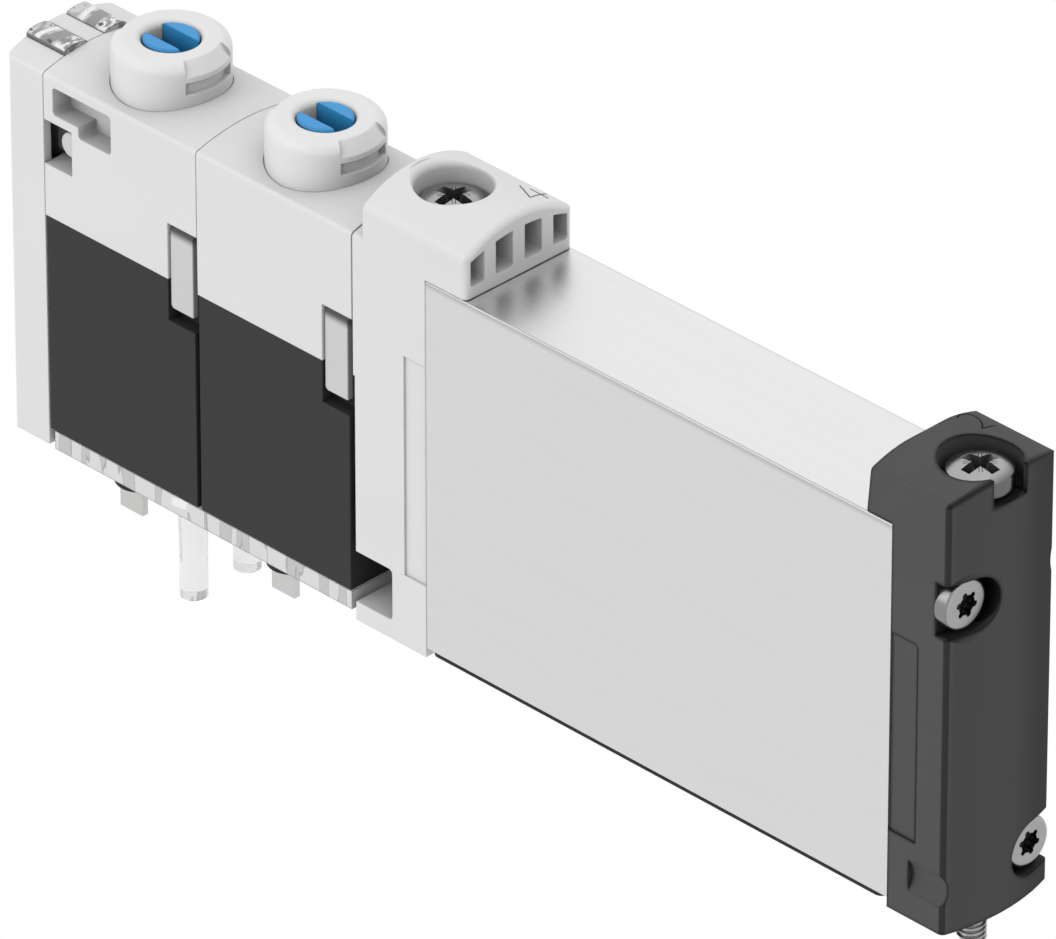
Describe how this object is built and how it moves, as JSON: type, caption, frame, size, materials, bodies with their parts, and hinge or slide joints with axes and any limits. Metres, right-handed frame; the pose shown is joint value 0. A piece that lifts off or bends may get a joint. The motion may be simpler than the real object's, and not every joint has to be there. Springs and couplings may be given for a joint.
{
  "type": "pneumatic solenoid valve",
  "caption": "Slim sub-base air valve: brushed metal body, white cover, black end cap, side-by-side pilot solenoids with slotted blue overrides in white domes.",
  "frame": {"origin": "middle of the two mounting screws, on the gasket's underside, the plane that meets the sub-base", "axes": "+X along the valve to the black end cap, +Y across the width to the back, +Z away from the sub-base"},
  "size_m": [0.0896, 0.0102, 0.0416],
  "materials": {
    "aluminium": "brushed, bright anodised",
    "black_rubber": "moulded",
    "white_plastic": "fine satin",
    "black_plastic": "fine satin",
    "screw_steel": "zinc plated",
    "clear_plastic": "polished clear plastic",
    "grey_plastic": "fine satin",
    "blue_plastic": "satin",
    "natural_plastic": "moulded",
    "copper_wire": "enamelled wire",
    "magnetic_steel": "turned or stamped",
    "spring_steel": "drawn wire",
    "contact_metal": "tin plated",
    "nozzle_brass": "turned"
  },
  "bodies": {
    "valve": {"valve_body": "aluminium", "base_gasket": "black_rubber", "cover": "white_plastic", "cover_gasket": "black_rubber", "cover_fixing_screws": "screw_steel", "end_cap": "black_plastic", "cap_gasket": "black_rubber", "cap_fixing_screws": "screw_steel", "end_housing": "white_plastic", "light_guide_front": "clear_plastic", "light_guide_back": "clear_plastic", "pilot_housing_1": "white_plastic", "pilot_housing_2": "white_plastic", "pilot_gasket_1": "black_rubber", "pilot_gasket_2": "black_rubber", "coil_block_1": "black_plastic", "coil_block_2": "black_plastic", "bobbin_1": "natural_plastic", "bobbin_2": "natural_plastic", "winding_1": "copper_wire", "winding_2": "copper_wire", "yoke_1": "magnetic_steel", "yoke_2": "magnetic_steel", "fixed_core_1": "magnetic_steel", "fixed_core_2": "magnetic_steel", "contact_blades_1": "contact_metal", "contact_blades_2": "contact_metal", "contact_seals_1": "black_rubber", "contact_seals_2": "black_rubber", "nozzle_1": "nozzle_brass", "nozzle_2": "nozzle_brass", "armature_spring_1": "spring_steel", "armature_spring_2": "spring_steel", "override_dome_1": "white_plastic", "override_dome_2": "white_plastic", "override_spring_1": "spring_steel", "override_spring_2": "spring_steel", "retaining_clip_1": "grey_plastic", "retaining_clip_2": "grey_plastic"},
    "spool_assembly": {"spool": "aluminium", "spool_seals": "black_rubber", "piston_14": "natural_plastic", "piston_12": "natural_plastic", "piston_seals": "black_rubber"},
    "cover_screw": {"cover_mounting_screw": "screw_steel"},
    "cap_screw": {"cap_mounting_screw": "screw_steel"},
    "plunger_1": {"override_plunger_1": "natural_plastic"},
    "button_1": {"override_button_1": "blue_plastic"},
    "armature_1_body": {"armature_1": "magnetic_steel", "armature_pad_1": "black_rubber"},
    "plunger_2": {"override_plunger_2": "natural_plastic"},
    "button_2": {"override_button_2": "blue_plastic"},
    "armature_2_body": {"armature_2": "magnetic_steel", "armature_pad_2": "black_rubber"}
  },
  "joints": [
    {"name": "spool_shift", "type": "slide", "parent": "valve", "child": "spool_assembly", "axis": [1, 0, 0], "range_m": [0, 0.002]},
    {"name": "cover_screw_turn", "type": "hinge", "parent": "valve", "child": "cover_screw", "pos_m": [-0.02415, 0, 0.031], "axis": [0, 0, 1], "continuous": true},
    {"name": "cap_screw_turn", "type": "hinge", "parent": "valve", "child": "cap_screw", "pos_m": [0.02415, 0, 0.032], "axis": [0, 0, 1], "continuous": true},
    {"name": "override_press_1", "type": "slide", "parent": "valve", "child": "plunger_1", "axis": [0, 0, -1], "range_m": [0, 0.0008], "stiffness_N_per_m": 1500, "springref_m": -0.001, "deforming": ["override_spring_1"]},
    {"name": "override_turn_1", "type": "hinge", "parent": "plunger_1", "child": "button_1", "pos_m": [-0.0513, 0, 0.0304], "axis": [0, 0, -1], "range_deg": [0, 90]},
    {"name": "armature_pull_1", "type": "slide", "parent": "valve", "child": "armature_1_body", "axis": [0, 0, -1], "range_m": [0, 0.00048], "stiffness_N_per_m": 300, "springref_m": -0.001, "deforming": ["armature_spring_1"]},
    {"name": "override_press_2", "type": "slide", "parent": "valve", "child": "plunger_2", "axis": [0, 0, -1], "range_m": [0, 0.0008], "stiffness_N_per_m": 1500, "springref_m": -0.001, "deforming": ["override_spring_2"]},
    {"name": "override_turn_2", "type": "hinge", "parent": "plunger_2", "child": "button_2", "pos_m": [-0.03635, 0, 0.0304], "axis": [0, 0, -1], "range_deg": [0, 90]},
    {"name": "armature_pull_2", "type": "slide", "parent": "valve", "child": "armature_2_body", "axis": [0, 0, -1], "range_m": [0, 0.00048], "stiffness_N_per_m": 300, "springref_m": -0.001, "deforming": ["armature_spring_2"]}
  ],
  "couplings": [
    {"joint": "armature_pull_1", "follows": "override_press_1", "ratio": 0.6},
    {"joint": "armature_pull_2", "follows": "override_press_2", "ratio": 0.6}
  ]
}
